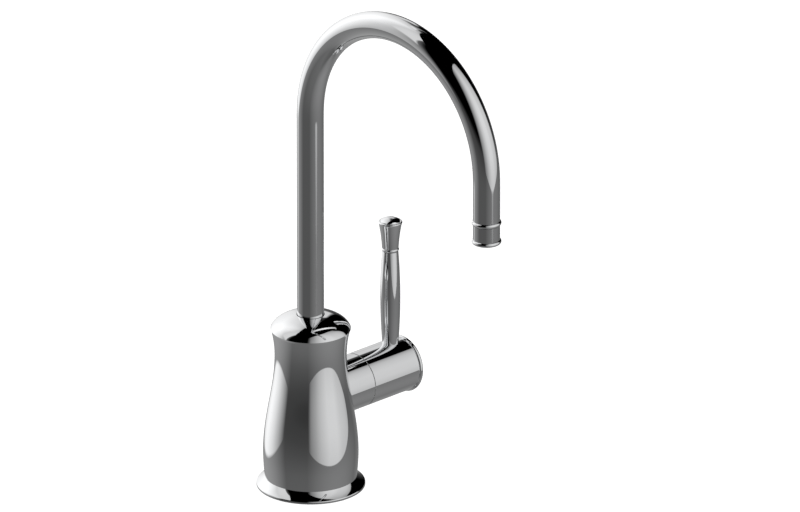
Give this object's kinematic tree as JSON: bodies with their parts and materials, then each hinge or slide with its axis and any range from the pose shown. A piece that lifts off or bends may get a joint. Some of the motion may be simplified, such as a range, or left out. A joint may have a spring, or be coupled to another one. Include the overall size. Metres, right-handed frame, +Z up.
{
  "type": "drinking water filter tap",
  "caption": "Chrome filter water tap: bottle-shaped body on a round flange, tall swivelling swan neck spout with a beaded outlet, side valve barrel with an upright lever.",
  "frame": {"origin": "on the worktop under the body's axis, at the mouth of the inlet thread", "axes": "+Z up the body's axis, -Y towards the outlet and the user, +X out along the valve barrel to the lever"},
  "size_m": [0.0968, 0.1659, 0.2795],
  "materials": {
    "chrome": "polished",
    "brass": "satin",
    "steel": "satin",
    "rubber": "matte",
    "ceramic": "satin",
    "nylon": "matte"
  },
  "bodies": {
    "tap_body": {"body": "chrome", "base_flange": "chrome", "base_gasket": "rubber", "dome_cap": "chrome", "cartridge_body": "brass", "cartridge_oring": "rubber", "cartridge_seal": "rubber", "fixed_disc": "ceramic", "seam_washer": "nylon"},
    "spout": {"spout_tube": "chrome", "spout_tail": "brass", "spout_orings": "rubber", "glide_ring": "nylon", "nozzle_collar": "chrome", "aerator_housing": "chrome", "aerator_insert": "nylon", "aerator_washer": "rubber"},
    "lever": {"moving_disc": "ceramic", "spindle": "steel", "spindle_orings": "rubber", "spindle_clip": "steel", "hub_bush": "nylon", "handle_hub": "chrome", "hub_screw": "steel", "hub_end_cap": "chrome", "end_cap_oring": "rubber", "lever_stem": "chrome", "lever_finial": "chrome"}
  },
  "joints": [
    {"name": "spout_swivel", "type": "hinge", "parent": "tap_body", "child": "spout", "pos_m": [0, 0, 0.08], "axis": [0, 0, 1], "continuous": true},
    {"name": "lever_turn", "type": "hinge", "parent": "tap_body", "child": "lever", "pos_m": [0.0332, 0, 0.0483], "axis": [1, 0, 0], "range_deg": [0, 90]}
  ]
}
